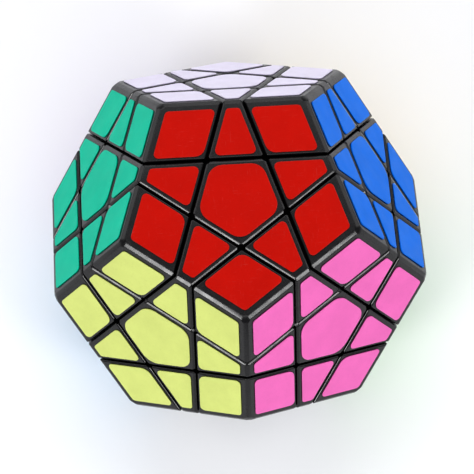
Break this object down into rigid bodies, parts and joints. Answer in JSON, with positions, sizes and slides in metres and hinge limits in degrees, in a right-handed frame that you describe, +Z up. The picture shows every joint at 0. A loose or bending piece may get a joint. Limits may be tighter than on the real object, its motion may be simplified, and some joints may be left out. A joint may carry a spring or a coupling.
{
  "type": "dodecahedron twisty puzzle",
  "caption": "Twelve-sided turning puzzle with coloured stickers on a black body, whose face layers of centre, edge and corner pieces turn about a sprung core.",
  "frame": {"origin": "centre of the bottom face's sticker, in the plane the puzzle stands on", "axes": "+Z up through the top face; +Y horizontal, square to the top face's edge that faces the white side; +X to its right"},
  "size_m": [0.078, 0.0816, 0.0673],
  "materials": {
    "black_body": "satin black, moulded",
    "core_plastic": "matte, moulded",
    "steel": "zinc-bright",
    "red_vinyl": "semi-gloss vinyl",
    "white_vinyl": "semi-gloss vinyl",
    "blue_vinyl": "semi-gloss vinyl",
    "pink_vinyl": "semi-gloss vinyl",
    "pale_yellow_vinyl": "semi-gloss vinyl",
    "teal_vinyl": "semi-gloss vinyl",
    "orange_vinyl": "semi-gloss vinyl",
    "grey_vinyl": "semi-gloss vinyl",
    "green_vinyl": "semi-gloss vinyl",
    "yellow_vinyl": "semi-gloss vinyl",
    "purple_vinyl": "semi-gloss vinyl",
    "light_blue_vinyl": "semi-gloss vinyl"
  },
  "bodies": {
    "core_assembly": {"core": "core_plastic", "springs": "steel", "washers": "steel", "screws": "steel", "fixed_hubs": "black_body", "white_cap": "black_body", "blue_cap": "black_body", "pink_cap": "black_body", "pale_yellow_cap": "black_body", "teal_cap": "black_body", "orange_cap": "black_body", "grey_cap": "black_body", "yellow_cap": "black_body", "purple_cap": "black_body", "fixed_edges": "black_body", "fixed_corners": "black_body", "fixed_white_stickers": "white_vinyl", "fixed_blue_stickers": "blue_vinyl", "fixed_pink_stickers": "pink_vinyl", "fixed_pale_yellow_stickers": "pale_yellow_vinyl", "fixed_teal_stickers": "teal_vinyl", "fixed_orange_stickers": "orange_vinyl", "fixed_grey_stickers": "grey_vinyl", "fixed_yellow_stickers": "yellow_vinyl", "fixed_purple_stickers": "purple_vinyl"},
    "top_layer": {"top_hub": "black_body", "red_cap": "black_body", "top_edges": "black_body", "top_corners": "black_body", "top_red_stickers": "red_vinyl", "top_white_stickers": "white_vinyl", "top_blue_stickers": "blue_vinyl", "top_pink_stickers": "pink_vinyl", "top_pale_yellow_stickers": "pale_yellow_vinyl", "top_teal_stickers": "teal_vinyl"},
    "lower_right_layer": {"right_hub": "black_body", "green_cap": "black_body", "right_edges": "black_body", "right_corners": "black_body", "right_green_stickers": "green_vinyl", "right_blue_stickers": "blue_vinyl", "right_pink_stickers": "pink_vinyl", "right_grey_stickers": "grey_vinyl", "right_yellow_stickers": "yellow_vinyl", "right_orange_stickers": "orange_vinyl"},
    "lower_left_layer": {"left_hub": "black_body", "light_blue_cap": "black_body", "left_edges": "black_body", "left_corners": "black_body", "left_light_blue_stickers": "light_blue_vinyl", "left_pale_yellow_stickers": "pale_yellow_vinyl", "left_teal_stickers": "teal_vinyl", "left_grey_stickers": "grey_vinyl", "left_purple_stickers": "purple_vinyl", "left_orange_stickers": "orange_vinyl"}
  },
  "joints": [
    {"name": "top_turn", "type": "hinge", "parent": "core_assembly", "child": "top_layer", "pos_m": [0, 0, 0.03366], "axis": [0, 0, 1], "continuous": true},
    {"name": "lower_right_turn", "type": "hinge", "parent": "core_assembly", "child": "lower_right_layer", "pos_m": [0, 0, 0.03366], "axis": [0.8507, -0.2764, -0.4472], "continuous": true},
    {"name": "lower_left_turn", "type": "hinge", "parent": "core_assembly", "child": "lower_left_layer", "pos_m": [0, 0, 0.03366], "axis": [-0.8507, -0.2764, -0.4472], "continuous": true}
  ]
}
